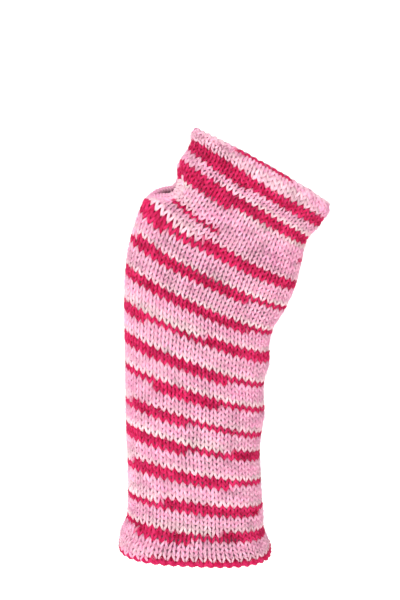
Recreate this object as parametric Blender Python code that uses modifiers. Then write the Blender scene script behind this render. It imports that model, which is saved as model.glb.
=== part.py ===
"""Striped wool wrist warmer, worn: one seamless stockinette tube in its worn, hollow form.

The tube is knitted in rounds from the cast-on hem below the elbow to the bound-off rim at
the knuckles, with a slit left open for the thumb. Its rounds lie level at the hem and lean
with the hand above the wrist, so every section is a leaning oval. All sizes are in
millimetres here and become metres when the meshes are made. The front, over the back of
the hand, faces -Y, the thumb is towards -X, and the origin is inside the wrist.
"""

import math

import bpy
import numpy as np

MM = 0.001

WALL = 2.4  # thickness of the knitted fabric
SEAM_GAP = 0.3  # left between one stretch of the tube and the next
RIM_SEAM_GAP = 0.8  # more under the rim, where the wall's two faces slant differently
ROUND_HEIGHT = 2.6  # the least height of one round of stitches at a seam

COLUMNS = 40  # mesh columns round the tube

HEM_TOP = 8.0  # rounds, counted up from the cast-on edge
WRIST = 42.5
HAND_TOP = 76.2
RIM_TOP = 80.2

SLIT_START = 59.2  # the thumb slit runs between these rounds
SLIT_END = 70.8
SLIT_HALF_GAP = 11.3  # half of how far the thumb holds the slit open
SLIT_RINGS = 9

LIP_RADIUS = 1.2  # rolled selvedge round the thumb opening
LIP_GAP = 1.0  # measured along the curved edge, so the least gap is about 0.3
LIP_POINTS = 44

RIM_BULGE = 1.2  # how far the rolled rim stands out half way up

# Where the tube's outer edge runs on the thumb's side and on the little finger's side.
EDGE_COLUMNS = ("round", "x", "z")
THUMB_EDGE = (
    (0.0, -46.0, -130.9),
    (1.6, -45.9, -126.7),
    (3.2, -44.7, -122.0),
    (4.8, -42.7, -117.2),
    (6.5, -41.4, -111.8),
    (11.5, -40.4, -96.0),
    (16.5, -40.7, -76.0),
    (22.0, -41.5, -56.2),
    (26.5, -41.7, -39.2),
    (32.0, -41.8, -21.0),
    (37.0, -42.0, -0.5),
    (42.0, -42.2, 19.2),
    (48.0, -41.4, 40.2),
    (54.0, -38.3, 56.6),
    (58.0, -33.0, 71.6),
    (60.0, -27.6, 80.6),
    (64.5, -20.0, 90.0),
    (67.0, -15.6, 96.4),
    (69.5, -11.2, 102.2),
    (72.5, -6.2, 110.8),
    (75.5, -2.2, 117.6),
    (77.8, -1.4, 122.4),
    (80.2, 0.9, 126.4),
)
LITTLE_FINGER_EDGE = (
    (0.0, 46.2, -134.6),
    (1.8, 45.0, -131.0),
    (3.6, 43.4, -127.1),
    (5.4, 42.4, -123.1),
    (7.0, 41.8, -119.0),
    (12.5, 40.8, -104.3),
    (17.5, 39.8, -88.9),
    (23.0, 39.0, -72.4),
    (27.5, 40.2, -58.7),
    (32.5, 41.4, -44.8),
    (37.5, 41.4, -29.2),
    (43.0, 45.0, -11.6),
    (48.5, 46.6, 3.0),
    (55.0, 54.8, 17.6),
    (60.0, 60.4, 31.0),
    (65.5, 63.8, 45.4),
    (70.0, 66.8, 58.0),
    (76.0, 75.8, 69.4),
    (78.0, 78.8, 75.4),
    (80.2, 80.0, 81.4),
)

# How each section is rounded. depth is half its depth from front to back. raise is how much
# higher the front lies than the middle, with the back as much lower, crown lifts front and
# back together, and thumb_lift draws up the thumb's end. power sets the oval's corners: 2 is
# an ellipse, and more is flatter front and back.
SHAPE_COLUMNS = ("round", "depth", "raise", "crown", "thumb_lift", "power")
SHAPES = (
    (0.0, 33.0, -3.0, 0.0, 0.0, 2.9),
    (1.6, 32.5, -2.5, 0.0, 0.0, 2.8),
    (3.2, 31.5, -2.0, 0.0, 0.0, 2.6),
    (4.8, 30.3, -1.2, 0.0, 0.0, 2.4),
    (6.5, 29.5, -0.5, 0.0, 0.0, 2.3),
    (12.0, 29.0, 0.3, 0.0, 0.0, 2.2),
    (22.5, 28.5, 0.3, 0.0, 0.0, 2.2),
    (32.0, 27.0, -0.2, 0.0, 0.0, 2.2),
    (37.0, 25.0, -1.0, 0.0, 0.0, 2.2),
    (42.5, 23.0, -1.8, 0.0, 0.0, 2.2),
    (48.0, 21.5, -1.5, 0.0, 1.0, 2.2),
    (54.0, 20.5, -1.3, 0.0, 3.0, 2.2),
    (60.0, 20.0, -1.8, 0.0, 6.0, 2.2),
    (64.5, 19.5, -0.6, 0.0, 3.5, 2.2),
    (69.5, 19.0, 1.4, 0.0, 0.4, 2.2),
    (75.5, 18.3, 1.3, 0.0, 0.0, 2.2),
    (77.8, 17.8, 1.9, 0.8, 0.0, 2.2),
    (80.2, 17.0, 3.2, 1.8, 0.0, 2.2),
)
THUMB_SIDE_SHARPNESS = 3  # how closely thumb_lift keeps to the thumb's end of the oval


def read_table(rows, columns, round_number):
    """A table's sizes at a round, on smooth curves through its rows."""
    table = np.array(rows)
    rounds = table[:, 0]
    slopes = np.gradient(table[:, 1:], rounds, axis=0)
    low = min(max(np.searchsorted(rounds, round_number) - 1, 0), len(rounds) - 2)
    span = rounds[low + 1] - rounds[low]
    t = (round_number - rounds[low]) / span
    values = (
        (2 * t**3 - 3 * t**2 + 1) * table[low, 1:]
        + (t**3 - 2 * t**2 + t) * span * slopes[low]
        + (3 * t**2 - 2 * t**3) * table[low + 1, 1:]
        + (t**3 - t**2) * span * slopes[low + 1]
    )
    return dict(zip(columns[1:], values))


def slit_half_gap(round_number):
    """Half the opening's width at a round: an oval between the slit's two ends."""
    share = (round_number - SLIT_START) / (SLIT_END - SLIT_START)
    if share <= 0 or share >= 1:
        return 0.0
    return SLIT_HALF_GAP * 2 * math.sqrt(share * (1 - share))


def rim_bulge(round_number):
    """How far the rolled rim stands out from the tube at a round."""
    share = (round_number - HAND_TOP) / (RIM_TOP - HAND_TOP)
    return RIM_BULGE * math.sin(math.pi * min(max(share, 0.0), 1.0)) ** 2


def signed_power(values, power):
    return np.sign(values) * np.abs(values) ** power


def ring(round_number, points, closed):
    """Points spaced evenly round the middle of the wall, from the thumb side past the palm
    and the little finger to the back of the hand."""
    thumb = read_table(THUMB_EDGE, EDGE_COLUMNS, round_number)
    little_finger = read_table(LITTLE_FINGER_EDGE, EDGE_COLUMNS, round_number)
    size = read_table(SHAPES, SHAPE_COLUMNS, round_number)
    left = np.array([thumb["x"], 0.0, thumb["z"]])
    right = np.array([little_finger["x"], 0.0, little_finger["z"]])
    across = (right - left) / np.linalg.norm(right - left)
    upward = np.array([-across[2], 0.0, across[0]])
    inset = WALL / 2 - rim_bulge(round_number)
    half_width = np.linalg.norm(right - left) / 2 - inset
    half_depth = size["depth"] - inset
    power = 2 / size["power"]
    start = math.asin((slit_half_gap(round_number) / half_depth) ** (1 / power))
    turn = np.linspace(start, 2 * math.pi - start, 721)
    width_share = signed_power(np.cos(turn), power)
    depth_share = signed_power(np.sin(turn), power)
    curve = (left + right) / 2 - half_width * np.outer(width_share, across)
    curve[:, 1] += half_depth * depth_share
    thumb_share = ((1 + np.cos(turn)) / 2) ** THUMB_SIDE_SHARPNESS
    curve += np.outer(size["crown"] * depth_share**2 - size["raise"] * depth_share, upward)
    curve[:, 2] += size["thumb_lift"] * thumb_share
    steps = np.linalg.norm(np.diff(curve, axis=0), axis=1)
    travel = np.concatenate([[0.0], np.cumsum(steps)])
    stops = np.linspace(0.0, travel[-1], points + 1)[: points if closed else points + 1]
    return np.stack([np.interp(stops, travel, curve[:, k]) for k in range(3)], axis=1)


def spaced(start, end, step):
    """Rounds from start to end, about step apart."""
    return np.linspace(start, end, max(2, round((end - start) / step) + 1))


def stretch_rounds(start, end, step):
    """Rounds for a stretch that meets another at each end: closer together near the seams,
    so that both sides of a seam lie at the same slant."""
    seam_step = step / 4
    inner = spaced(start + seam_step, end - seam_step, step)
    return np.concatenate([[start], inner, [end]])


def new_material(name, colour, roughness):
    material = bpy.data.materials.new(name)
    material.use_nodes = True
    shader = material.node_tree.nodes["Principled BSDF"]
    shader.inputs["Base Color"].default_value = (*colour, 1.0)
    shader.inputs["Roughness"].default_value = roughness
    shader.inputs["Metallic"].default_value = 0.0
    return material


def add_object(name, data, material, collection):
    item = bpy.data.objects.new(name, data)
    data.materials.append(material)
    collection.objects.link(item)
    return item


def add_stretch(name, rounds, material, collection):
    """A stretch of the tube: rings of points lofted into an open sheet, then given its wall."""
    points = []
    first = []
    for round_number in rounds:
        is_open = slit_half_gap(round_number) > 0
        first.append((len(points), is_open))
        points.extend(ring(round_number, COLUMNS, not is_open) * MM)
    faces = []
    for (low, low_open), (high, high_open) in zip(first, first[1:]):
        for column in range(COLUMNS):
            ahead = column + 1
            low_ahead = low + (ahead if low_open else ahead % COLUMNS)
            high_ahead = high + (ahead if high_open else ahead % COLUMNS)
            faces.append((low + column, high + column, high_ahead, low_ahead))
    mesh = bpy.data.meshes.new(name)
    mesh.from_pydata([tuple(point) for point in points], [], faces)
    mesh.shade_smooth()
    item = add_object(name, mesh, material, collection)
    shell = item.modifiers.new("Wall", "SOLIDIFY")
    shell.thickness = WALL * MM
    shell.offset = 0.0
    shell.use_even_offset = True
    return item


def slit_rounds():
    """Rounds closer together towards the two ends of the thumb slit, where it turns."""
    share = (1 - np.cos(np.linspace(0, math.pi, SLIT_RINGS + 2))) / 2
    return SLIT_START + (SLIT_END - SLIT_START) * share


def lip_path():
    """A closed path just inside the thumb opening, the lip's radius and a gap off its edge."""
    rounds = slit_rounds()
    edges = [ring(number, COLUMNS, False) for number in rounds[1:-1]]
    palm_edge = [points[0] for points in edges]
    front_edge = [points[-1] for points in edges]
    bottom = ring(rounds[0], COLUMNS, True)[0]
    top = ring(rounds[-1], COLUMNS, True)[0]
    outline = np.array([bottom, *palm_edge, top, *front_edge[::-1]])
    middle = outline.mean(axis=0)
    closed = np.vstack([outline, outline[:1]])
    travel = np.concatenate([[0.0], np.cumsum(np.linalg.norm(np.diff(closed, axis=0), axis=1))])
    stops = np.linspace(0.0, travel[-1], LIP_POINTS + 1)[:-1]
    even = np.stack([np.interp(stops, travel, closed[:, k]) for k in range(3)], axis=1)
    inward = middle - even
    inward /= np.linalg.norm(inward, axis=1, keepdims=True)
    return even + inward * (LIP_RADIUS + LIP_GAP)


def add_thumb_lip(material, collection):
    """The rolled selvedge round the thumb opening."""
    curve = bpy.data.curves.new("thumb_lip", "CURVE")
    curve.dimensions = "3D"
    curve.bevel_depth = LIP_RADIUS * MM
    curve.bevel_resolution = 2
    spline = curve.splines.new("POLY")
    path = lip_path() * MM
    spline.points.add(len(path) - 1)
    for point, place in zip(spline.points, path):
        point.co = (*place, 1.0)
    spline.use_cyclic_u = True
    return add_object("thumb_lip", curve, material, collection)


def main():
    for item in list(bpy.data.objects):
        bpy.data.objects.remove(item)
    collection = bpy.data.collections.new("wrist_warmer")
    bpy.context.scene.collection.children.link(collection)
    half_gap = SEAM_GAP / 2 / ROUND_HEIGHT
    rim_half_gap = RIM_SEAM_GAP / 2 / ROUND_HEIGHT

    hem = new_material("hem_wool", (0.80, 0.24, 0.36), 0.9)
    hem_rounds = stretch_rounds(0.0, HEM_TOP - half_gap, 1.3)
    add_stretch("cast_on_hem", hem_rounds, hem, collection)

    arm = new_material("arm_wool", (0.86, 0.35, 0.47), 0.9)
    arm_rounds = stretch_rounds(HEM_TOP + half_gap, WRIST - half_gap, 2.6)
    add_stretch("arm_tube", arm_rounds, arm, collection)

    hand = new_material("hand_wool", (0.85, 0.33, 0.46), 0.9)
    below = stretch_rounds(WRIST + half_gap, SLIT_START, 2.4)[:-1]
    above = stretch_rounds(SLIT_END, HAND_TOP - rim_half_gap, 2.0)[1:]
    hand_rounds = np.concatenate([below, slit_rounds(), above])
    add_stretch("hand_tube", hand_rounds, hand, collection)

    lip = new_material("lip_wool", (0.84, 0.30, 0.44), 0.9)
    add_thumb_lip(lip, collection)

    rim = new_material("rim_wool", (0.88, 0.45, 0.53), 0.9)
    rim_rounds = stretch_rounds(HAND_TOP + rim_half_gap, RIM_TOP, 0.8)
    add_stretch("finger_rim", rim_rounds, rim, collection)


main()
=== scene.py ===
"""Looks of the striped wool wrist warmer: its yarn, stitch by stitch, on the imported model.

It is laid out as a Blender add-on and run as a script. The stitches follow one spiral of yarn
that starts at the cast-on hem, on the thumb's side, and runs round past the palm, the little
finger and the back of the hand. Lengths are in metres, apart from those of the worn form, which
are in millimetres as in the part's source. A place on the fabric is given by two numbers: turn,
which goes from 0 to 1 once round the tube, and round, counted up from the cast-on edge.
"""

import math

import bpy
import numpy as np
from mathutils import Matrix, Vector


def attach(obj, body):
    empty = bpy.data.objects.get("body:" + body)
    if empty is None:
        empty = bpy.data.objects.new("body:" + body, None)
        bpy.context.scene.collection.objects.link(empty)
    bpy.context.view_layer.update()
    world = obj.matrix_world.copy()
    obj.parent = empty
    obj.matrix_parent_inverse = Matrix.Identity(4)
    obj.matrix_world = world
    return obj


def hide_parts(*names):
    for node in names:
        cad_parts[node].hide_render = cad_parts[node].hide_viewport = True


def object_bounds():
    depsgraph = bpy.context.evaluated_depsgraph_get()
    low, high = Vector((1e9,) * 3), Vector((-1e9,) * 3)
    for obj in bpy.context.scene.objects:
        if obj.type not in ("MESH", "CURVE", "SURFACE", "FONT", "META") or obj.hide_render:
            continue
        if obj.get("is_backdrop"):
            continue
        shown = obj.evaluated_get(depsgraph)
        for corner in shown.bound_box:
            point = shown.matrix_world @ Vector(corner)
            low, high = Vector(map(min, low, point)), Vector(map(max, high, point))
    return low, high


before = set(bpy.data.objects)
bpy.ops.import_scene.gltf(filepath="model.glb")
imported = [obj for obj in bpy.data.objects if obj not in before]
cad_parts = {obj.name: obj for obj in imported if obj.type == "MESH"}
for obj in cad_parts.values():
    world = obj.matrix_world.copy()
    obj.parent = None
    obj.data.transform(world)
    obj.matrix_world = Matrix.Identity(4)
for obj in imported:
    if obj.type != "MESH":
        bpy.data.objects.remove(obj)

bl_info = {
    "name": "Striped Wool Wrist Warmer",
    "version": (1, 0, 0),
    "blender": (4, 5, 0),
    "location": "View3D > Sidebar > Wrist Warmer",
    "description": "Knits a striped wool wrist warmer from loops of yarn",
    "category": "Add Mesh",
}

MM = 0.001

# ---------------------------------------------------------------- the worn form

WALL = 2.4  # thickness of the knitted fabric
HAND_TOP = 76.2  # the round at which the rim starts
RIM_TOP = 80.2
RIM_BULGE = 1.2  # how far the rim swells out, half way up
GATHER_FROM = 77.0  # above this round the bind-off draws the rounds together
GATHER = 0.8  # share of its height that a round keeps there

SLIT_START = 59.2  # the thumb slit runs between these rounds
SLIT_END = 70.8
SLIT_HALF_GAP = 11.3
SLIT_RINGS = 9  # sections of the slit that the lip's path is drawn through
BOUND_OFF_WIDTH = 0.12  # share of its width left to a stitch that is bound off in the slit
SLIT_SOFTNESS = 0.25  # how gently stitches give way beside the slit, by its half width
CURVE_POINTS = 1201  # points on a fine section curve

LIP_RADIUS = 1.2  # of the rolled lip round the thumb slit
LIP_GAP = 0.3  # between the slit's edge and the lip
LIP_KNITTED = 61.5  # rounds knitted when the lip's lower end was picked up
LIP_TURN = 0.02  # turns from the slit's middle to the yarn that the lip takes its dye from

# Where the tube's outer edge runs on the thumb's side and on the little finger's side.
EDGE_COLUMNS = ("round", "x", "z")
THUMB_EDGE = (
    (0.0, -46.0, -130.9),
    (1.6, -45.9, -126.7),
    (3.2, -44.7, -122.0),
    (4.8, -42.7, -117.2),
    (6.5, -41.4, -111.8),
    (11.5, -40.4, -96.0),
    (16.5, -40.7, -76.0),
    (22.0, -41.5, -56.2),
    (26.5, -41.7, -39.2),
    (32.0, -41.8, -21.0),
    (37.0, -42.0, -0.5),
    (42.0, -42.2, 19.2),
    (48.0, -41.4, 40.2),
    (54.0, -38.3, 56.6),
    (58.0, -33.0, 71.6),
    (60.0, -27.6, 80.6),
    (64.5, -20.0, 90.0),
    (67.0, -15.6, 96.4),
    (69.5, -11.2, 102.2),
    (72.5, -6.2, 110.8),
    (75.5, -2.2, 117.6),
    (77.8, -1.4, 122.4),
    (80.2, 0.9, 126.4),
)
LITTLE_FINGER_EDGE = (
    (0.0, 46.2, -134.6),
    (1.8, 45.0, -131.0),
    (3.6, 43.4, -127.1),
    (5.4, 42.4, -123.1),
    (7.0, 41.8, -119.0),
    (12.5, 40.8, -104.3),
    (17.5, 39.8, -88.9),
    (23.0, 39.0, -72.4),
    (27.5, 40.2, -58.7),
    (32.5, 41.4, -44.8),
    (37.5, 41.4, -29.2),
    (43.0, 45.0, -11.6),
    (48.5, 46.6, 3.0),
    (55.0, 54.8, 17.6),
    (60.0, 60.4, 31.0),
    (65.5, 63.8, 45.4),
    (70.0, 66.8, 58.0),
    (76.0, 75.8, 69.4),
    (78.0, 78.8, 75.4),
    (80.2, 80.0, 81.4),
)

# How each section is rounded, as in the part's source. depth is half its depth front to back,
# raise lifts the back of the hand and lowers the palm, crown lifts both of them against the
# sides, thumb_lift lifts the thumb's side, and power makes it squarer.
SHAPE_COLUMNS = ("round", "depth", "raise", "crown", "thumb_lift", "power")
SHAPES = (
    (0.0, 33.0, -3.0, 0.0, 0.0, 2.9),
    (1.6, 32.5, -2.5, 0.0, 0.0, 2.8),
    (3.2, 31.5, -2.0, 0.0, 0.0, 2.6),
    (4.8, 30.3, -1.2, 0.0, 0.0, 2.4),
    (6.5, 29.5, -0.5, 0.0, 0.0, 2.3),
    (12.0, 29.0, 0.3, 0.0, 0.0, 2.2),
    (22.5, 28.5, 0.3, 0.0, 0.0, 2.2),
    (32.0, 27.0, -0.2, 0.0, 0.0, 2.2),
    (37.0, 25.0, -1.0, 0.0, 0.0, 2.2),
    (42.5, 23.0, -1.8, 0.0, 0.0, 2.2),
    (48.0, 21.5, -1.5, 0.0, 1.0, 2.2),
    (54.0, 20.5, -1.3, 0.0, 3.0, 2.2),
    (60.0, 20.0, -1.8, 0.0, 6.0, 2.2),
    (64.5, 19.5, -0.6, 0.0, 3.5, 2.2),
    (69.5, 19.0, 1.4, 0.0, 0.4, 2.2),
    (75.5, 18.3, 1.3, 0.0, 0.0, 2.2),
    (77.8, 17.8, 1.9, 0.8, 0.0, 2.2),
    (80.2, 17.0, 3.2, 1.8, 0.0, 2.2),
)
THUMB_SIDE_SHARPNESS = 3  # how closely thumb_lift keeps to the thumb's side

# Soft troughs (depth below 0) and ridges where the wool gives over the arm. reach is the
# half length round the tube in turns, breadth the half height in rounds, and slope how many
# rounds it climbs in one turn. Depth is in millimetres.
CREASE_COLUMNS = ("turn", "round", "reach", "breadth", "slope", "depth")
CREASES = (
    (0.94, 6.2, 0.10, 1.2, 2.0, -0.9),
    (0.56, 6.6, 0.09, 1.3, -2.0, -0.8),
    (0.24, 5.6, 0.16, 1.2, 1.0, -0.8),
    (0.895, 3.5, 0.07, 0.7, 0.0, -1.9),
    (0.550, 2.6, 0.04, 0.8, 30.0, -0.8),
    (0.80, 13.5, 0.13, 1.4, 6.0, -0.5),
    (0.53, 30.5, 0.05, 1.6, 0.0, 0.9),
    (0.60, 37.5, 0.08, 1.6, -6.0, 0.5),
    (0.53, 44.6, 0.07, 1.7, -9.0, -1.3),
    (0.52, 40.6, 0.08, 1.5, -6.0, 1.0),
    (0.70, 49.0, 0.10, 1.5, -7.0, -0.5),
    (0.91, 52.0, 0.06, 1.8, 10.0, 0.6),
    (0.95, 56.0, 0.05, 1.7, 14.0, -0.6),
    (0.86, 61.0, 0.07, 1.4, 8.0, -0.6),
    (0.30, 41.5, 0.15, 1.6, 5.0, -1.2),
    (0.22, 46.0, 0.12, 1.5, -6.0, -1.0),
    (0.13, 51.0, 0.08, 1.8, -12.0, 0.9),
    (0.36, 62.0, 0.10, 1.7, 7.0, -0.9),
    (0.18, 23.0, 0.15, 1.6, 4.0, -0.7),
    (0.40, 15.0, 0.11, 1.5, -5.0, -0.6),
    (0.62, 77.0, 0.08, 1.0, 0.0, 0.5),
)

# ---------------------------------------------------------------- the knitting

# How many rounds higher a course lies than by plain counting, because the worn tube is
# stretched unevenly, on the little finger's side and on the thumb's.
STRETCH_COLUMNS = ("course", "little_finger", "thumb")
STRETCH = (
    (0.0, -0.4, -0.7),
    (5.0, -0.7, -0.1),
    (10.5, 0.0, -0.4),
    (15.5, 0.2, -0.4),
    (21.0, 0.2, 0.1),
    (26.0, -0.2, 0.2),
    (31.0, 0.4, 0.6),
    (36.0, 0.4, 0.5),
    (41.0, 0.1, 0.4),
    (47.0, 0.3, 0.3),
    (53.0, 1.0, 0.8),
    (58.0, 0.7, -0.6),
    (63.0, 0.7, -0.6),
    (68.0, 0.6, 0.0),
    (73.0, 1.5, 1.0),
    (77.0, 1.6, 1.1),
)

# Where the fabric is tugged a little up or down beside the thumb and under the rim.
TUG_COLUMNS = ("turn", "course", "reach", "breadth", "shift")
TUGS = (
    (0.865, 57.5, 0.055, 4.5, -0.35),
    (0.950, 63.5, 0.075, 4.5, 0.45),
    (0.750, 73.5, 0.120, 2.2, -0.65),
)

# Where the self-striping yarn is dyed, in rounds knitted since the cast-on. Everything else
# is pink.
SPAN_COLUMNS = ("start", "end")
MAGENTA_SPANS = (
    (-2.0, 0.86),
    (4.76, 4.92),
    (5.00, 6.68),
    (10.55, 11.84),
    (15.65, 16.94),
    (20.77, 22.64),
    (25.77, 26.94),
    (30.68, 30.87),
    (31.00, 32.05),
    (35.65, 37.08),
    (40.90, 42.72),
    (46.60, 48.08),
    (52.63, 53.97),
    (57.90, 59.80),
    (62.775, 62.95),
    (64.50, 64.53),
    (67.78, 67.96),
    (68.00, 70.00),
    (72.77, 75.02),
    (78.66, 78.85),
)
PALE_COLUMNS = ("start", "end", "strength")
CREAM_SPANS = (
    (0.96, 2.05, 0.7),
    (6.70, 7.90, 0.9),
    (11.86, 13.05, 0.8),
    (16.96, 18.10, 1.0),
    (22.66, 23.75, 0.9),
    (26.96, 28.05, 0.8),
    (32.07, 33.30, 0.9),
    (37.10, 38.20, 1.0),
    (42.74, 44.00, 0.9),
    (48.10, 49.20, 1.0),
    (54.00, 55.20, 1.0),
    (59.82, 60.90, 0.6),
    (63.86, 64.00, 0.5),
    (64.88, 65.00, 0.5),
    (65.93, 66.00, 0.8),
    (66.91, 67.00, 1.0),
    (67.45, 67.76, 0.9),
    (67.97, 67.99, 0.9),
    (70.40, 70.85, 1.0),
    (75.55, 76.10, 0.5),
    (76.60, 77.00, 0.6),
    (78.50, 78.64, 0.6),
    (78.88, 78.98, 0.5),
)
DYE_BLEND = 0.012  # rounds over which one colour turns into the next
CREAM_FADE = 0.6  # share of its paleness that a pale stretch loses along its length

# The stretches that are knitted as one mesh each, between courses, with the solid and finish
# that each belongs to. looseness is how many times more uneven than usual the stitches are,
# and fullness how thick the yarn looks there.
PIECE_COLUMNS = ("name", "node", "slot", "first_course", "end_course", "looseness", "fullness")
PIECES = (
    ("hem_stitches", "cast_on_hem", "hem_wool", 0, 8, 1.2, 1.0),
    ("forearm_stitches", "arm_tube", "arm_wool", 8, 25, 1.0, 1.0),
    ("wrist_stitches", "arm_tube", "arm_wool", 25, 42, 1.0, 1.0),
    ("thumb_base_stitches", "hand_tube", "hand_wool", 42, 59, 1.0, 1.0),
    ("hand_stitches", "hand_tube", "hand_wool", 59, 75, 1.2, 1.0),
    ("rim_stitches", "finger_rim", "rim_wool", 75, 78, 2.2, 0.98),
)
COURSES = 78


def named(rows, columns):
    """The rows of a table as dictionaries by column name."""
    return [dict(zip(columns, row)) for row in rows]


def read_table(rows, columns, position):
    """A table's sizes at a position, on smooth curves through its rows."""
    table = np.array(rows)
    places = table[:, 0]
    slopes = np.gradient(table[:, 1:], places, axis=0)
    low = min(max(np.searchsorted(places, position) - 1, 0), len(places) - 2)
    span = places[low + 1] - places[low]
    t = (position - places[low]) / span
    values = (
        (2 * t**3 - 3 * t**2 + 1) * table[low, 1:]
        + (t**3 - 2 * t**2 + t) * span * slopes[low]
        + (3 * t**2 - 2 * t**3) * table[low + 1, 1:]
        + (t**3 - t**2) * span * slopes[low + 1]
    )
    return dict(zip(columns[1:], values))


def slit_half_gap(round_number):
    """Half the thumb opening's width at a round."""
    share = (round_number - SLIT_START) / (SLIT_END - SLIT_START)
    if share <= 0 or share >= 1:
        return 0.0
    return SLIT_HALF_GAP * 2 * math.sqrt(share * (1 - share))


def rim_bulge(round_number):
    """How far the rim swells out at a round."""
    share = (round_number - HAND_TOP) / (RIM_TOP - HAND_TOP)
    return RIM_BULGE * math.sin(math.pi * min(max(share, 0.0), 1.0)) ** 2


def signed_power(values, power):
    """A power that keeps each value's sign."""
    return np.sign(values) * np.abs(values) ** power


def section_curve(round_number):
    """(points, travel, slit edge) of the middle of the wall at a round: a fine closed curve in
    millimetres from the thumb side past the palm and the little finger to the back of the
    hand, the way travelled along it, and how far along it the thumb slit's edge lies."""
    thumb = read_table(THUMB_EDGE, EDGE_COLUMNS, round_number)
    little_finger = read_table(LITTLE_FINGER_EDGE, EDGE_COLUMNS, round_number)
    size = read_table(SHAPES, SHAPE_COLUMNS, round_number)
    left = np.array([thumb["x"], 0.0, thumb["z"]])
    right = np.array([little_finger["x"], 0.0, little_finger["z"]])
    across = (right - left) / np.linalg.norm(right - left)
    upward = np.array([-across[2], 0.0, across[0]])
    inset = WALL / 2 - rim_bulge(round_number)
    half_width = np.linalg.norm(right - left) / 2 - inset
    half_depth = size["depth"] - inset
    power = 2 / size["power"]
    angle = np.linspace(0.0, 2 * math.pi, CURVE_POINTS)
    width_share = signed_power(np.cos(angle), power)
    depth_share = signed_power(np.sin(angle), power)
    curve = (left + right) / 2 - half_width * np.outer(width_share, across)
    curve[:, 1] += half_depth * depth_share
    thumb_share = ((1 + np.cos(angle)) / 2) ** THUMB_SIDE_SHARPNESS
    curve += np.outer(size["crown"] * depth_share**2 - size["raise"] * depth_share, upward)
    curve[:, 2] += size["thumb_lift"] * thumb_share
    travel = np.concatenate([[0.0], np.cumsum(np.linalg.norm(np.diff(curve, axis=0), axis=1))])
    slit_angle = math.asin((slit_half_gap(round_number) / half_depth) ** (1 / power))
    return curve, travel, np.interp(slit_angle, angle, travel)


def beside_slit(distance, slit_edge):
    """How far from the thumb's side stitches lie. Those that would lie in the slit are bound
    off, which gathers them at its edge."""
    bound_off = slit_edge + BOUND_OFF_WIDTH * distance
    past = distance - bound_off
    return bound_off + (past + np.sqrt(past**2 + (SLIT_SOFTNESS * slit_edge) ** 2)) / 2


def ring(round_number, turns):
    """Places on a section at turns from 0 to 1."""
    curve, travel, slit_edge = section_curve(round_number)
    whole = travel[-1]
    palm = beside_slit(turns * whole, slit_edge)
    back = whole - beside_slit((1 - turns) * whole, slit_edge)
    stops = np.where(turns < 0.5, palm, back)
    return np.stack([np.interp(stops, travel, curve[:, k]) for k in range(3)], axis=1)


def unit(vectors):
    """Vectors at a length of 1."""
    return vectors / np.maximum(np.linalg.norm(vectors, axis=-1, keepdims=True), 1e-12)


class Fabric:
    """The middle of the worn fabric as a fine grid of places and outward directions."""

    STEP = 0.2  # rounds between the grid's rows
    TURNS = 480  # steps round the tube

    def __init__(self):
        self.rounds = np.arange(0.0, RIM_TOP + self.STEP / 2, self.STEP)
        turns = np.linspace(0.0, 1.0, self.TURNS + 1)
        self.places = np.array([ring(number, turns) for number in self.rounds]) * MM
        self.open = np.array([slit_half_gap(number) > 0 for number in self.rounds])
        self.normals = self.outward()
        self.places = self.places + self.normals * self.crease_depths()[..., None]
        self.normals = self.outward()

    def outward(self):
        """The grid's outward directions. A row's ends meet, but not along the thumb slit."""
        along = np.gradient(self.places, axis=1)
        ends = self.places[:, 1] - self.places[:, -2]
        closed = ~self.open
        along[closed, 0] = ends[closed]
        along[closed, -1] = ends[closed]
        up = np.gradient(self.places, axis=0)
        return unit(np.cross(up, along))

    def crease_depths(self):
        """How far the creases and ridges move each place outward."""
        turns = np.linspace(0.0, 1.0, self.TURNS + 1)[None, :]
        rounds = self.rounds[:, None]
        depths = np.zeros((len(self.rounds), self.TURNS + 1))
        for crease in named(CREASES, CREASE_COLUMNS):
            off = (turns - crease["turn"] + 0.5) % 1.0 - 0.5
            height = rounds - crease["round"] - crease["slope"] * off
            depths += crease["depth"] * np.exp(
                -((off / crease["reach"]) ** 2) - (height / crease["breadth"]) ** 2
            )
        return depths * MM

    def at(self, turns, rounds):
        """(places, normals) at arrays of turns, from 0 to 1, and rounds."""
        column = np.clip(turns, 0.0, 1.0) * self.TURNS
        row = np.clip(rounds, 0.0, self.rounds[-1]) / self.STEP
        left = np.minimum(column.astype(int), self.TURNS - 1)
        low = np.minimum(row.astype(int), len(self.rounds) - 2)
        across = (column - left)[..., None]
        up = (row - low)[..., None]
        blended = []
        for grid in (self.places, self.normals):
            lower = grid[low, left] * (1 - across) + grid[low, left + 1] * across
            upper = grid[low + 1, left] * (1 - across) + grid[low + 1, left + 1] * across
            blended.append(lower * (1 - up) + upper * up)
        return blended[0], unit(blended[1])


def course_round(courses, turns):
    """The round at which the middle of a course lies, a course being one turn of yarn."""
    stretch = dict(zip(STRETCH_COLUMNS, np.array(STRETCH).T))
    little_finger = np.interp(courses, stretch["course"], stretch["little_finger"])
    thumb = np.interp(courses, stretch["course"], stretch["thumb"])
    thumb_below = np.interp(courses - 1, stretch["course"], stretch["thumb"])
    palm = thumb_below + (little_finger - thumb_below) * turns * 2
    back = little_finger + (thumb - little_finger) * (turns * 2 - 1)
    rounds = courses + turns + 0.5 + np.where(turns < 0.5, palm, back)
    for tug in named(TUGS, TUG_COLUMNS):
        off = (turns - tug["turn"]) / tug["reach"]
        height = (courses - tug["course"]) / tug["breadth"]
        rounds = rounds + tug["shift"] * np.exp(-(off**2) - height**2)
    return rounds


def gathered(rounds):
    """Rounds as the bind-off leaves them, drawn closer together under the rim."""
    drawn = GATHER_FROM + (rounds - GATHER_FROM) * GATHER
    return np.where(rounds > GATHER_FROM, drawn, rounds)


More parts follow.
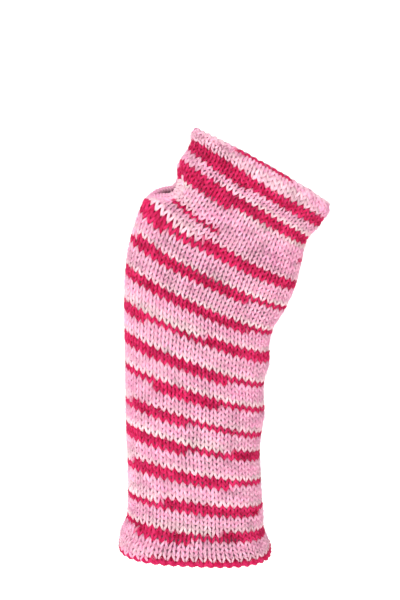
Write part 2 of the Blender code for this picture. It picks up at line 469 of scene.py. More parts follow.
def dye_at(knitted):
    """(magenta share, cream share) of the yarn. Cream sets in at once and fades out slowly."""
    magenta = np.zeros(np.shape(knitted))
    for span in named(MAGENTA_SPANS, SPAN_COLUMNS):
        rise = (knitted - span["start"]) / DYE_BLEND + 0.5
        fall = (span["end"] - knitted) / DYE_BLEND + 0.5
        magenta = np.maximum(magenta, np.clip(np.minimum(rise, fall), 0.0, 1.0))
    cream = np.zeros(np.shape(knitted))
    for span in named(CREAM_SPANS, PALE_COLUMNS):
        rise = (knitted - span["start"]) / DYE_BLEND + 0.5
        fade = (span["end"] - knitted) / (span["end"] - span["start"])
        fade = fade * CREAM_FADE + (1 - CREAM_FADE)
        inside = (knitted < span["end"]) * np.clip(rise, 0.0, 1.0)
        here = span["strength"] * inside * np.clip(fade, 0.0, 1.0)
        cream = np.maximum(cream, here)
    return magenta, cream


# ---------------------------------------------------------------- settings


class WarmerYarn(bpy.types.PropertyGroup):
    """How the yarn is knitted."""

    stitches: bpy.props.IntProperty(
        name="Stitches",
        description="Stitches in one round",
        default=46,
    )
    thickness: bpy.props.FloatProperty(
        name="Yarn thickness",
        description="Diameter of the yarn",
        default=0.00172,
        subtype="DISTANCE",
        unit="LENGTH",
    )
    splay: bpy.props.FloatProperty(
        name="Splay",
        description="How far a loop widens towards its head, as a share of a stitch",
        default=0.24,
        subtype="FACTOR",
    )
    reach: bpy.props.FloatProperty(
        name="Reach",
        description="How far a loop reaches up and down from its course, in courses",
        default=0.90,
        subtype="FACTOR",
    )
    depth: bpy.props.FloatProperty(
        name="Depth",
        description="How far the loop's sides stand out and its ends sink in",
        default=0.00090,
        subtype="DISTANCE",
        unit="LENGTH",
    )
    unevenness: bpy.props.FloatProperty(
        name="Unevenness",
        description="How much hand knitting varies from stitch to stitch",
        default=0.09,
        subtype="FACTOR",
    )


class WarmerNap(bpy.types.PropertyGroup):
    """The short loose fibres of the wool."""

    cells: bpy.props.IntProperty(
        name="Nap rows",
        description="The nap has this number of fibres, squared",
        default=124,
    )
    length: bpy.props.FloatProperty(
        name="Nap length",
        description="Length of the longest fibres",
        default=0.0032,
        subtype="DISTANCE",
        unit="LENGTH",
    )
    thickness: bpy.props.FloatProperty(
        name="Nap thickness",
        description="Diameter of a loose fibre at its root",
        default=0.00018,
        subtype="DISTANCE",
        unit="LENGTH",
    )
    paleness: bpy.props.FloatProperty(
        name="Nap paleness",
        description="How light the fibres are against the yarn",
        default=0.9,
        subtype="FACTOR",
    )


class WarmerDye(bpy.types.PropertyGroup):
    """The colours of the self-striping wool."""

    pink: bpy.props.FloatVectorProperty(
        name="Pink",
        description="Main colour",
        default=(0.97, 0.58, 0.69),
        subtype="COLOR",
    )
    lilac: bpy.props.FloatVectorProperty(
        name="Lilac",
        description="Flecks in the pink",
        default=(0.93, 0.36, 0.58),
        subtype="COLOR",
    )
    magenta: bpy.props.FloatVectorProperty(
        name="Magenta",
        description="Stripe colour",
        default=(0.55, 0.0, 0.05),
        subtype="COLOR",
    )
    cerise: bpy.props.FloatVectorProperty(
        name="Cerise",
        description="Flecks in the stripes",
        default=(0.78, 0.04, 0.17),
        subtype="COLOR",
    )
    cream: bpy.props.FloatVectorProperty(
        name="Cream",
        description="Pale courses",
        default=(0.97, 0.76, 0.75),
        subtype="COLOR",
    )


class WarmerStudio(bpy.types.PropertyGroup):
    """The camera and the light."""

    distance: bpy.props.FloatProperty(
        name="Camera distance",
        description="From the camera to the middle of the view",
        default=2.2,
        subtype="DISTANCE",
        unit="LENGTH",
    )
    elevation: bpy.props.FloatProperty(
        name="Camera elevation",
        description="Angle above the horizon",
        default=math.radians(12),
        subtype="ANGLE",
        unit="ROTATION",
    )
    field: bpy.props.FloatProperty(
        name="Field of view",
        description="Upright angle of view",
        default=math.radians(9.4),
        subtype="ANGLE",
        unit="ROTATION",
    )
    floor_drop: bpy.props.FloatProperty(
        name="Floor drop",
        description="How far the floor lies under the hem",
        default=0.16,
        subtype="DISTANCE",
        unit="LENGTH",
    )


# ---------------------------------------------------------------- wool shader

PLIES = 3
TWISTS = 4  # times that the plies go round each other in a stitch
FLECK_NOISE = (420.0, 3.0)  # scale and detail of each grain in the wool
FIBRE_NOISE = (2600.0, 2.0)
PATCH_NOISE = (70.0, 2.0)
FLECK_EDGES = (0.35, 0.68)  # noise at which a fleck or patch starts, and at which it is whole
PATCH_EDGES = (0.3, 0.7)
FLECK_SHARE = 0.7  # how much of a second colour's share comes from flecks
PLY_SHADE = 0.07  # how much each of these lightens the wool; this paints shade into the ply's grooves and, through the third colour channel, where the yarn sinks behind loops, and grain into the fibres
FIBRE_SHADE = 0.30
TONE_SHADE = 0.48
BASE_SHADE = 0.495
PLY_HEIGHT = 0.5  # how much each of these raises the bump
FIBRE_HEIGHT = 0.8
BUMP = {"Strength": 0.6, "Distance": 0.0004}
LEAST_ROUGHNESS = 0.85
FIBRE_ROUGHNESS = 0.1
MATT = {"Sheen Weight": 0.06, "Sheen Roughness": 0.4, "Specular IOR Level": 0.12}
INSIDE_BRIGHTNESS = 0.40  # the wool seen between the loops lies in their shade


class Wire:
    """A shader socket that arithmetic works on: each operator adds a Math node."""

    def __init__(self, shader, socket):
        self.shader = shader
        self.socket = socket

    def maths(self, operation, first, second=0.0):
        node = self.shader.node("ShaderNodeMath", {"operation": operation}, {0: first, 1: second})
        return self.shader.out(node)

    def __add__(self, other):
        return self.maths("ADD", self, other)

    def __sub__(self, other):
        return self.maths("SUBTRACT", self, other)

    def __rsub__(self, other):
        return self.maths("SUBTRACT", other, self)

    def __mul__(self, other):
        return self.maths("MULTIPLY", self, other)

    def sine(self):
        return self.maths("SINE", self)

    def between(self, low, high):
        """0 at low, 1 at high and clipped outside."""
        settings = {"clamp": True}
        values = {0: self, 1: low, 2: high}
        return self.shader.out(self.shader.node("ShaderNodeMapRange", settings, values))

    __radd__ = __add__
    __rmul__ = __mul__


class Shader:
    """A material's nodes."""

    def __init__(self, name):
        self.material = bpy.data.materials.new(name)
        self.material.use_nodes = True
        self.nodes = self.material.node_tree.nodes
        self.links = self.material.node_tree.links
        self.surface = self.nodes["Principled BSDF"]

    def node(self, kind, settings=None, values=None):
        """A node of a kind: its settings first, then its sockets' values or links."""
        node = self.nodes.new(kind)
        for name, value in (settings or {}).items():
            setattr(node, name, value)
        self.feed(node, values or {})
        return node

    def feed(self, node, values):
        """Links or sets a node's sockets."""
        for key, value in values.items():
            if isinstance(value, Wire):
                self.links.new(value.socket, node.inputs[key])
            else:
                node.inputs[key].default_value = value

    def out(self, node, key=0):
        """One of a node's outputs, to do sums with."""
        return Wire(self, node.outputs[key])

    def mix(self, share, first, second):
        """A colour between two, by a share from 0 to 1."""
        settings = {"data_type": "RGBA"}
        values = {0: share, 6: first, 7: second}
        return self.out(self.node("ShaderNodeMix", settings, values), 2)

    def noise(self, vector, scale, detail):
        """Soft random grain, from 0 to 1."""
        values = {"Vector": vector, "Scale": scale, "Detail": detail}
        return self.out(self.node("ShaderNodeTexNoise", {}, values))


def colour(value):
    """A dye as an opaque colour."""
    return (*value, 1.0)


def wool(name, brightness):
    """Soft plied wool, dyed by the mesh's colour attribute, with its ply, loose fibres and
    painted shade.
    """
    dye = bpy.context.scene.warmer_dye
    shader = Shader(name)
    object_place = shader.out(shader.node("ShaderNodeTexCoord"), "Object")
    dyes_and_shade = shader.node("ShaderNodeAttribute", {"attribute_name": "DyeAndShade"})
    shares = shader.node("ShaderNodeSeparateColor", {}, {0: shader.out(dyes_and_shade, "Color")})
    magenta_share = shader.out(shares, 0)
    cream_share = shader.out(shares, 1)
    tone_and_painted_shade = shader.out(shares, 2)

    yarn_map = shader.node("ShaderNodeUVMap", {"uv_map": "Yarn"})
    yarn = shader.node("ShaderNodeSeparateXYZ", {}, {0: shader.out(yarn_map)})
    along = shader.out(yarn, 0)
    around = shader.out(yarn, 1)
    ply = ((along * TWISTS + around * PLIES) * (2 * math.pi)).sine()

    fleck = shader.noise(object_place, *FLECK_NOISE).between(*FLECK_EDGES)
    fibre = shader.noise(object_place, *FIBRE_NOISE)
    patch = shader.noise(object_place, *PATCH_NOISE).between(*PATCH_EDGES)

    lilac_share = fleck * FLECK_SHARE + patch * (1 - FLECK_SHARE)
    # the third colour channel also moves the magenta towards cerise where the yarn stands out, so
    # the painted shade changes its hue too
    cerise_share = fleck * FLECK_SHARE + tone_and_painted_shade * (1 - FLECK_SHARE)
    pink = shader.mix(lilac_share, colour(dye.pink), colour(dye.lilac))
    magenta = shader.mix(cerise_share, colour(dye.magenta), colour(dye.cerise))
    pale = shader.mix(cream_share, pink, colour(dye.cream))
    dyed = shader.mix(magenta_share, pale, magenta)
    # painted shade: the wool is darker in the ply's grooves and, through the third colour
    # channel, where the yarn sinks behind loops; the fibres add random grain
    shade = ply * PLY_SHADE + fibre * FIBRE_SHADE + tone_and_painted_shade * TONE_SHADE + BASE_SHADE
    scale = {0: dyed, "Scale": shade * brightness}
    lit = shader.node("ShaderNodeVectorMath", {"operation": "SCALE"}, scale)
    height = ply * PLY_HEIGHT + fibre * FIBRE_HEIGHT
    bump = shader.node("ShaderNodeBump", {}, {**BUMP, "Height": height})
    shader.feed(
        shader.surface,
        {
            "Base Color": shader.out(lit),
            "Roughness": fibre * FIBRE_ROUGHNESS + LEAST_ROUGHNESS,
            "Normal": shader.out(bump),
            **MATT,
        },
    )
    return shader.material


def material_of(slot_name, depth="yarn", brightness=1.0):
    """The wool of a slot, made once."""
    name = slot_name + "_" + depth
    return bpy.data.materials.get(name) or wool(name, brightness)


# ---------------------------------------------------------------- meshes

SEGMENTS = 14  # yarn segments in a stitch
SIDES = 6  # sides round the yarn
YARN_SEED = 48
END_GAP = 0.1  # rounds between the loops and the ends of the tube
THICK_AND_THIN = 0.22  # share of its thickness that the yarn loses where loops press on it
COURSE_HEIGHT = 0.0033  # where courses are further apart than this, the yarn lies fuller
PLUMPING = 0.7  # power at which the yarn's thickness follows the height of a course
PLUMP_LIMITS = (0.85, 1.35)
STITCH_WIDTH = 0.0030  # where stitches have less room than this, the yarn is drawn thin
THINNEST = 0.55  # share of its thickness that drawn yarn keeps
SUNK_SHADE = 0.31  # painted shade: how much darker the yarn is where it dips behind another loop
TONE_SPREAD = 3.0  # how much the tone varies from stitch to stitch
CREAM_SPREAD = 3.0  # how patchy the cream is

EDGE_SAMPLES = 16  # samples in each coil of an edge
EDGE_TONE = 0.7
EDGE_COIL = 0.0006  # how far the yarn of the two round edges coils off its path
CAST_ON_ROUND = 0.32  # the round of the cast-on edge's middle
CAST_ON_RADIUS = 0.0015
BIND_OFF_ROUND = RIM_TOP - 0.05  # before the bind-off draws the rounds together
BIND_OFF_STAND = 0.0003  # how far it stands out from the fabric
BIND_OFF_RADIUS = 0.0011
LIP_COILS = 42
LIP_COIL = 0.0011
LIP_YARN_RADIUS = 0.00105

NAP_SEED = 7
NAP_SIDES = 3
NAP_GAP = 0.3  # rounds without nap at either end of the tube
NAP_SLIT_GAP = 0.07  # turns without nap on either side of the thumb slit's middle
NAP_SHORTEST = 0.4  # length of the shortest fibre, as a share of the longest
NAP_LIFT = (0.1, 0.9)  # how steeply the fibres stand, at least and at most
NAP_ROOT = 0.36  # how far out in the yarn a fibre is rooted, as a share of its thickness
NAP_MIDDLE = (0.45, 0.30)  # how far a fibre's middle lies over and stands up, by its length
NAP_TIP = (0.85, 0.42)
NAP_TAPER = (1.0, 0.8, 0.2)
SMALL_TURN = 0.004  # a step round the tube that gives the way along a course

INNER_FACE_COLUMNS = 96
INNER_FACE_STEP = 0.8  # rounds between its rows
INNER_FACE_START = 0.2  # the round of its lower end
INNER_FACE_END = RIM_TOP - 1.6
INNER_FACE_SINK = 0.0003  # how far inward it lies from the fabric's middle
INNER_FACE_THICKNESS = 0.0004


def add_piece(name, mesh, slot_name, *finish):
    """A mesh as a piece of the warmer, with its wool."""
    mesh.materials.append(material_of(slot_name, *finish))
    item = bpy.data.objects.new(name, mesh)
    bpy.context.scene.collection.objects.link(item)
    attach(item, "root")
    return item


def set_dye_and_shade(mesh, shares):
    """Stores (magenta, cream, random variation with painted shade) for each vertex."""
    layer = mesh.color_attributes.new("DyeAndShade", "FLOAT_COLOR", "POINT")
    values = np.ones((len(shares), 4), np.float32)
    values[:, :3] = shares
    layer.data.foreach_set("color", values.ravel())


def strands_mesh(name, paths, normals, radii, dyes_and_shade, counts, rows, columns=1, sides=SIDES):
    """Yarn strands as one mesh of tubes. paths is strands x samples x 3. counts holds each
    sample's place in stitches, and the bake map gives each strand its own row, or its own
    cell where there are columns."""
    strands, samples = paths.shape[:2]
    tangent = unit(np.gradient(paths, axis=1))
    side = unit(np.cross(tangent, normals))
    outward = np.cross(side, tangent)
    angles = np.linspace(0.0, 2 * math.pi, sides, endpoint=False)
    rims = (
        np.cos(angles)[:, None] * outward[:, :, None, :]
        + np.sin(angles)[:, None] * side[:, :, None, :]
    )
    points = paths[:, :, None, :] + rims * radii[:, :, None, None]

    strand, sample, edge = np.meshgrid(
        np.arange(strands), np.arange(samples - 1), np.arange(sides), indexing="ij"
    )
    ahead = (edge + 1) % sides
    base = (strand * samples + sample) * sides
    quads = np.stack(
        [base + edge, base + ahead, base + sides + ahead, base + sides + edge], axis=-1
    ).reshape(-1, 4)
    mesh = bpy.data.meshes.new(name)
    mesh.from_pydata(points.reshape(-1, 3), [], quads)
    mesh.shade_smooth()

    start = counts[:, :-1][:, :, None] + np.zeros(sides)
    end = counts[:, 1:][:, :, None] + np.zeros(sides)
    low = edge / sides
    high = (edge + 1) / sides
    yarn = np.stack([start, low, start, high, end, high, end, low], axis=-1)
    layer = mesh.uv_layers.new(name="Yarn")
    layer.uv.foreach_set("vector", yarn.astype(np.float32).ravel())
    first = counts.min()
    length = counts.max() - first
    bake = yarn.copy()
    bake[..., 0::2] = (strand[..., None] // rows + (bake[..., 0::2] - first) / length) / columns
    bake[..., 1::2] = (strand[..., None] % rows + bake[..., 1::2]) / rows
    layer = mesh.uv_layers.new(name="OFBake")
    layer.uv.foreach_set("vector", bake.astype(np.float32).ravel())
    set_dye_and_shade(mesh, np.repeat(dyes_and_shade.reshape(-1, 3), sides, axis=0))
    return mesh


def loop_strands(fabric, settings, piece):
    """The yarn of a piece's courses: places, normals, radii, colours with painted shade and
    stitch counts.
    """
    stitches = settings.stitches
    courses = np.arange(piece["first_course"], piece["end_course"])[:, None]
    steps = np.arange(stitches * SEGMENTS + 1)[None, :] / SEGMENTS
    knitted = courses + steps / stitches
    draw = np.random.default_rng(YARN_SEED)
    uneven = draw.normal(0.0, settings.unevenness, (4, (COURSES + 1) * stitches + 2))

    def varied(row):
        """One of the ways in which the stitches differ, followed smoothly along the yarn."""
        return np.interp(knitted * stitches, np.arange(uneven.shape[1]), uneven[row])

    loose = piece["looseness"]
    phase = 2 * math.pi * steps + math.pi
    splay = settings.splay * (1 + loose * varied(0))
    turns = (steps + splay * np.sin(2 * phase)) / stitches
    middle = course_round(courses, steps / stitches)
    reach = settings.reach * (1 + loose * varied(1))
    above = course_round(courses + 0.5, steps / stitches)
    below = course_round(courses - 0.5, steps / stitches)
    rounds = gathered(middle + reach * (above - below) * np.cos(phase))
    closed = (middle < SLIT_START) | (middle > SLIT_END)

    def wrapped(turns):
        """Turns past the thumb's side go on round the tube, but not across the open slit."""
        return np.where(closed, turns % 1.0, np.clip(turns, 0.0, 1.0))

    places, normals = fabric.at(wrapped(turns), np.clip(rounds, END_GAP, RIM_TOP - END_GAP))
    sink = settings.depth * (1 + loose * varied(2))
    raised = -np.cos(2 * phase)
    paths = places + normals * (sink * raised)[..., None]
    swell = 1 + THICK_AND_THIN * (raised - 1) / 2
    plain = np.broadcast_to(steps / stitches, middle.shape)
    upper, _ = fabric.at(plain, above)
    lower, _ = fabric.at(plain, below)
    height = np.linalg.norm(upper - lower, axis=-1)
    plump = np.clip((height / COURSE_HEIGHT) ** PLUMPING, *PLUMP_LIMITS) * piece["fullness"]
    before, _ = fabric.at(wrapped(plain - 0.5 / stitches), middle)
    beyond, _ = fabric.at(wrapped(plain + 0.5 / stitches), middle)
    width = np.linalg.norm(beyond - before, axis=-1)
    room = np.clip(width / STITCH_WIDTH, THINNEST, 1.0)
    radii = settings.thickness / 2 * plump * room * swell * (1 + loose * varied(3))
    magenta, cream = dye_at(knitted)
    cream = cream * np.clip(1.0 - CREAM_SPREAD * np.abs(varied(1)), 0.0, 1.0)
    # random variation from stitch to stitch, plus painted shade: the yarn is darker where it dips
    # behind another loop
    tone_and_painted_shade = np.clip(0.5 + TONE_SPREAD * varied(2) + SUNK_SHADE * raised, 0.0, 1.0)
    dyes_and_shade = np.stack([magenta, cream, tone_and_painted_shade], axis=-1)
    counts = np.broadcast_to(steps, knitted.shape)
    return paths, normals, radii, dyes_and_shade, counts


def rope(name, slot_name, path, coils, coil, radius):
    """An edge's strand of yarn, coiled round a closed path (centre, outward, knitted). It goes
    round the path coils times, coil away from it."""
    centre, outward, knitted = path
    samples = len(centre) - 1
    angle = 2 * math.pi * coils * np.arange(samples + 1) / samples
    tangent = np.gradient(centre, axis=0)
    tangent[0] = tangent[-1] = centre[1] - centre[-2]
    tangent = unit(tangent)
    side = unit(np.cross(tangent, outward))
    outward = np.cross(side, tangent)
    yarn = centre + coil * (np.cos(angle)[:, None] * outward + np.sin(angle)[:, None] * side)
    magenta, cream = dye_at(knitted)
    dyes_and_shade = np.stack([magenta, cream, np.full(samples + 1, EDGE_TONE)], axis=-1)
    counts = coils * np.arange(samples + 1) / samples
    normals = unit(yarn - centre)
    mesh = strands_mesh(
        name,
        yarn[None],
        normals[None],
        np.full((1, samples + 1), radius),
        dyes_and_shade[None],
        counts[None],
        1,
    )
    return add_piece(name, mesh, slot_name)


def lip_path(points):
    """(centre, outward, knitted) of the thumb opening's rolled edge, a closed path in metres
    whose dye follows the courses that it edges."""
    share = (1 - np.cos(np.linspace(0, math.pi, SLIT_RINGS + 2))) / 2
    rounds = SLIT_START + (SLIT_END - SLIT_START) * share
    both_ends = np.array([0.0, 1.0])
    edges = np.array([ring(number, both_ends) for number in rounds])
    outline = np.concatenate([edges[:, 0], edges[-2:0:-1, 1]])
    palm_dye = np.maximum(np.round(rounds - 0.5) + LIP_TURN, LIP_KNITTED)
    back_dye = np.maximum(np.round(rounds - 1.5) + 1 - LIP_TURN, LIP_KNITTED)
    dye_places = np.concatenate([palm_dye, back_dye[-2:0:-1]])
    middle = outline.mean(axis=0)
    closed = np.vstack([outline, outline[:1]])
    travel = np.concatenate([[0.0], np.cumsum(np.linalg.norm(np.diff(closed, axis=0), axis=1))])
    stops = np.linspace(0.0, travel[-1], points + 1)
    even = np.stack([np.interp(stops, travel, closed[:, k]) for k in range(3)], axis=1)
    inward = unit(middle - even)
    nearest = np.searchsorted(travel, stops, side="right").clip(1, len(dye_places)) - 1
    knitted = dye_places[nearest]
    return (even + inward * (LIP_RADIUS + LIP_GAP)) * MM, -inward, knitted


# ---------------------------------------------------------------- the studio

VIEW_MIDDLE = (0.003, 0.0, 0.0215)
LIGHT_COLUMNS = ("name", "place", "size", "power")
LIGHTS = (
    ("key", (-0.9, -1.7, 1.5), 1.0, 33.5),
    ("fill", (1.5, -1.6, 0.4), 1.8, 6.0),
    ("top", (0.3, 0.5, 1.9), 1.4, 7.0),
)
WHITE = (1.0, 1.0, 1.0, 1.0)
AIR_STRENGTH = 0.38

FLOOR_HALF = 12.0  # half the floor's width, and how far it runs to the front
FLOOR_BACK = 1.5  # where it starts to curve up
CURVE_RADIUS = 1.2
CURVE_STEPS = 12
BACKDROP_TOP = 5.0
PAPER_NOISE = (3.0, 2.0)
PAPER_DARK = (0.93, 0.93, 0.93, 1.0)
PAPER_LIGHT = (0.96, 0.96, 0.96, 1.0)
PAPER_ROUGHNESS = 0.9
PAPER_GLOW = 0.55


# ---------------------------------------------------------------- operators


class WARMER_OT_stitches(bpy.types.Operator):
    """Knit the tube from loops of yarn, one mesh for each stretch"""

    bl_idname = "warmer.stitches"
    bl_label = "Knit the Stitches"

    def execute(self, context):
        fabric = Fabric()
        yarn = context.scene.warmer_yarn
        for piece in named(PIECES, PIECE_COLUMNS):
            strands = loop_strands(fabric, yarn, piece)
            rows = piece["end_course"] - piece["first_course"]
            mesh = strands_mesh(piece["name"], *strands, rows)
            item = add_piece(piece["name"], mesh, piece["slot"])
            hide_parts(piece["node"])
        return {"FINISHED"}


class WARMER_OT_edges(bpy.types.Operator):
    """Finish the cast-on edge, the bound-off edge and the rolled lip of the thumb opening"""

    bl_idname = "warmer.edges"
    bl_label = "Finish the Edges"

    def execute(self, context):
        fabric = Fabric()
        stitches = context.scene.warmer_yarn.stitches
        samples = stitches * EDGE_SAMPLES
        turn = np.linspace(0.0, 1.0, samples + 1)
        centre, outward = fabric.at(turn, np.full(samples + 1, CAST_ON_ROUND))
        path = (centre, outward, turn - 1.0)
        rope("cast_on_edge", "hem_wool", path, stitches, EDGE_COIL, CAST_ON_RADIUS)
        centre, outward = fabric.at(turn, np.full(samples + 1, gathered(BIND_OFF_ROUND)))
        path = (centre + outward * BIND_OFF_STAND, outward, turn + COURSES)
        rope("bind_off_edge", "rim_wool", path, stitches, EDGE_COIL, BIND_OFF_RADIUS)
        path = lip_path(samples)
        lip = rope("thumb_lip_roll", "lip_wool", path, LIP_COILS, LIP_COIL, LIP_YARN_RADIUS)
        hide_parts("thumb_lip")
        return {"FINISHED"}


class WARMER_OT_nap(bpy.types.Operator):
    """Raise the short loose fibres that stand off the wool"""

    bl_idname = "warmer.nap"
    bl_label = "Raise the Nap"

    def execute(self, context):
        fabric = Fabric()
        nap = context.scene.warmer_nap
        yarn = context.scene.warmer_yarn
        draw = np.random.default_rng(NAP_SEED)
        cells = nap.cells
        count = cells * cells
        course = draw.uniform(NAP_GAP, COURSES - 2 * NAP_GAP, count)
        turn = draw.uniform(0.0, 1.0, count)
        rounds = gathered(np.clip(course_round(course, turn), NAP_GAP, RIM_TOP - NAP_GAP))
        near_slit = (rounds > SLIT_START) & (rounds < SLIT_END)
        beside = NAP_SLIT_GAP + (1 - 2 * NAP_SLIT_GAP) * turn
        turn = np.where(near_slit, beside, turn)
        roots, normals = fabric.at(turn, rounds)
        ahead, _ = fabric.at(np.minimum(turn + SMALL_TURN, 1.0), rounds)
        along = unit(ahead - roots)
        across = np.cross(normals, along)
        heading = draw.uniform(0.0, 2 * math.pi, count)[:, None]
        lie = np.cos(heading) * along + np.sin(heading) * across
        length = draw.uniform(NAP_SHORTEST, 1.0, count)[:, None] * nap.length
        lift = draw.uniform(*NAP_LIFT, count)[:, None]
        roots = roots + normals * (yarn.depth + yarn.thickness * NAP_ROOT)
        middle = roots + (lie * NAP_MIDDLE[0] + normals * lift * NAP_MIDDLE[1]) * length
        tips = roots + (lie * NAP_TIP[0] + normals * lift * NAP_TIP[1]) * length
        paths = np.stack([roots, middle, tips], axis=1)
        magenta, cream = dye_at(np.floor(course + 0.5) + turn)
        dyes_and_shade = np.stack([magenta, cream, np.full(count, nap.paleness)], axis=-1)
        radii = nap.thickness / 2 * np.array(NAP_TAPER)
        mesh = strands_mesh(
            "wool_nap",
            paths,
            np.repeat(normals[:, None], 3, axis=1),
            np.broadcast_to(radii, (count, 3)),
            np.repeat(dyes_and_shade[:, None], 3, axis=1),
            np.broadcast_to(np.array([0.0, 0.5, 1.0]), (count, 3)),
            cells,
            cells,
            NAP_SIDES,
        )
        add_piece("wool_nap", mesh, "arm_wool")
        return {"FINISHED"}


class WARMER_OT_ground(bpy.types.Operator):
    """Lay the close inner face of the knitting, which shows between the loops"""

    bl_idname = "warmer.ground"
    bl_label = "Lay the Inner Face"

    def execute(self, context):
        fabric = Fabric()
        rounds = np.arange(INNER_FACE_START, INNER_FACE_END, INNER_FACE_STEP)
        turns = np.linspace(0.0, 1.0, INNER_FACE_COLUMNS + 1)
        grid_turns, grid_rounds = np.meshgrid(turns, rounds)
        places, normals = fabric.at(grid_turns, grid_rounds)
        places = places - normals * INNER_FACE_SINK
        mesh = self.sheet_mesh(places, grid_turns, grid_rounds)
        # the inner face stands for the fabric behind the loops, in a copy of the wool that is
        # painted darker as their shade
        item = add_piece("knit_inner_face", mesh, "arm_wool", "inside", INSIDE_BRIGHTNESS)
        wall = item.modifiers.new("Thickness", "SOLIDIFY")
        wall.thickness = INNER_FACE_THICKNESS
        wall.offset = 0.0
        yarn_pieces = [piece["name"] for piece in named(PIECES, PIECE_COLUMNS)]
        edges = ["cast_on_edge", "bind_off_edge", "thumb_lip_roll", "wool_nap"]
        [bpy.data.objects[name] for name in yarn_pieces + edges]
        return {"FINISHED"}

    def sheet_mesh(self, places, turns, rounds):
        """The inner face as a tube that is open along the thumb slit."""
        rows, columns = turns.shape
        wide = columns - 1
        index = np.arange(rows * columns).reshape(rows, columns)
        faces = []
        for row in range(rows - 1):
            slit = slit_half_gap(rounds[row, 0]) > 0 or slit_half_gap(rounds[row + 1, 0]) > 0
            lower = index[row]
            upper = index[row + 1]
            for column in range(wide):
                ahead = column + 1 if slit or column + 1 < wide else 0
                faces.append((lower[column], lower[ahead], upper[ahead], upper[column]))
        mesh = bpy.data.meshes.new("knit_inner_face")
        mesh.from_pydata(places.reshape(-1, 3), [], faces)
        mesh.shade_smooth()
        courses = rounds - turns - 0.5
        magenta, _ = dye_at(np.floor(courses) + turns)
        # the third value follows the magenta share here, so the painted shade between the loops
        # is lighter in the stripes
        shares = np.stack([magenta, np.zeros_like(magenta), magenta], axis=-1)
        set_dye_and_shade(mesh, shares.reshape(-1, 3))
        return mesh


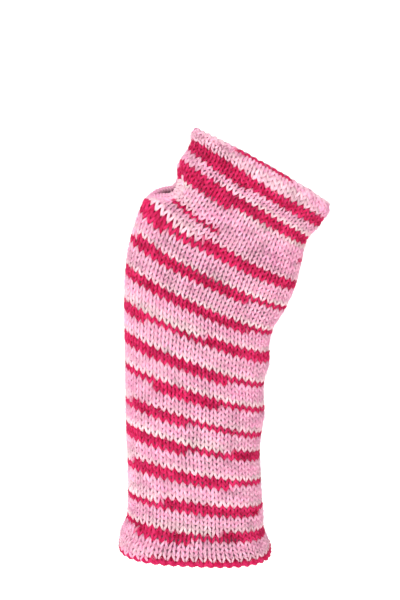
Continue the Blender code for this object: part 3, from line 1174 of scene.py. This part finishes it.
class WARMER_OT_studio(bpy.types.Operator):
    """Set up the pale floor, the soft light and the camera"""

    bl_idname = "warmer.studio"
    bl_label = "Set Up the Studio"

    def execute(self, context):
        low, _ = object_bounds()
        studio = context.scene.warmer_studio
        floor = self.sweep(low[2] - studio.floor_drop)
        floor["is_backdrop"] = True
        self.world()
        for lamp in named(LIGHTS, LIGHT_COLUMNS):
            self.light(**lamp)
        self.camera(studio)
        context.scene.view_settings.view_transform = "Standard"
        return {"FINISHED"}

    def sweep(self, height):
        """A pale floor that curves up into a backdrop."""
        profile = [(-FLOOR_HALF, 0.0), (FLOOR_BACK, 0.0)]
        for step in range(1, CURVE_STEPS + 1):
            angle = math.radians(90 * step / CURVE_STEPS)
            along = FLOOR_BACK + CURVE_RADIUS * math.sin(angle)
            profile.append((along, CURVE_RADIUS - CURVE_RADIUS * math.cos(angle)))
        profile.append((FLOOR_BACK + CURVE_RADIUS, BACKDROP_TOP))
        points = [(x, y, z + height) for x in (-FLOOR_HALF, FLOOR_HALF) for y, z in profile]
        count = len(profile)
        faces = [(k, count + k, count + k + 1, k + 1) for k in range(count - 1)]
        mesh = bpy.data.meshes.new("studio_floor")
        mesh.from_pydata(points, [], faces)
        mesh.shade_smooth()
        shader = Shader("studio_paper")
        place = shader.out(shader.node("ShaderNodeTexCoord"), "Object")
        grain = shader.noise(place, *PAPER_NOISE)
        paper = shader.mix(grain, PAPER_DARK, PAPER_LIGHT)
        glow = {"Emission Color": WHITE, "Emission Strength": PAPER_GLOW}
        matt = {"Base Color": paper, "Roughness": PAPER_ROUGHNESS}
        shader.feed(shader.surface, {**matt, **glow})
        mesh.materials.append(shader.material)
        item = bpy.data.objects.new("studio_floor", mesh)
        bpy.context.scene.collection.objects.link(item)
        return item

    def world(self):
        """Even white light from all round."""
        world = bpy.data.worlds.new("studio_air")
        world.use_nodes = True
        background = world.node_tree.nodes["Background"]
        background.inputs["Color"].default_value = WHITE
        background.inputs["Strength"].default_value = AIR_STRENGTH
        bpy.context.scene.world = world

    def light(self, name, place, size, power):
        """A round soft light that faces the middle of the view."""
        data = bpy.data.lights.new(name, "AREA")
        data.shape = "DISK"
        data.size = size
        data.energy = power
        item = bpy.data.objects.new(name, data)
        item.location = place
        item.rotation_euler = self.aim(place)
        bpy.context.scene.collection.objects.link(item)

    def aim(self, place):
        """The rotation that faces the middle of the view from a place."""
        return (Vector(VIEW_MIDDLE) - Vector(place)).to_track_quat("-Z", "Y").to_euler()

    def camera(self, studio):
        data = bpy.data.cameras.new("camera")
        data.sensor_fit = "VERTICAL"
        data.angle = studio.field
        back = studio.distance * math.cos(studio.elevation)
        rise = studio.distance * math.sin(studio.elevation)
        item = bpy.data.objects.new("camera", data)
        item.location = (VIEW_MIDDLE[0], VIEW_MIDDLE[1] - back, VIEW_MIDDLE[2] + rise)
        item.rotation_euler = self.aim(item.location)
        bpy.context.scene.collection.objects.link(item)
        bpy.context.scene.camera = item


class WARMER_PT_sidebar(bpy.types.Panel):
    """Lists the steps of making the wrist warmer"""

    bl_label = "Wrist Warmer"
    bl_idname = "WARMER_PT_sidebar"
    bl_space_type = "VIEW_3D"
    bl_region_type = "UI"
    bl_category = "Wrist Warmer"

    def draw(self, context):
        layout = self.layout
        for group_name, _ in GROUPS:
            settings = getattr(context.scene, group_name)
            for name in settings.__annotations__:
                layout.prop(settings, name)
        for step in STEPS:
            layout.operator(step.bl_idname)


STEPS = (
    WARMER_OT_stitches,
    WARMER_OT_edges,
    WARMER_OT_nap,
    WARMER_OT_ground,
    WARMER_OT_studio,
)
GROUPS = (
    ("warmer_yarn", WarmerYarn),
    ("warmer_nap", WarmerNap),
    ("warmer_dye", WarmerDye),
    ("warmer_studio", WarmerStudio),
)


def register():
    for name, group in GROUPS:
        bpy.utils.register_class(group)
        setattr(bpy.types.Scene, name, bpy.props.PointerProperty(type=group))
    for cls in (*STEPS, WARMER_PT_sidebar):
        bpy.utils.register_class(cls)


def unregister():
    for cls in reversed((*STEPS, WARMER_PT_sidebar)):
        bpy.utils.unregister_class(cls)
    for name, group in reversed(GROUPS):
        delattr(bpy.types.Scene, name)
        bpy.utils.unregister_class(group)


def main():
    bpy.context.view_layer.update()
    register()
    bpy.ops.warmer.stitches()
    bpy.ops.warmer.edges()
    bpy.ops.warmer.nap()
    bpy.ops.warmer.ground()
    bpy.ops.warmer.studio()


if __name__ == "__main__":
    main()
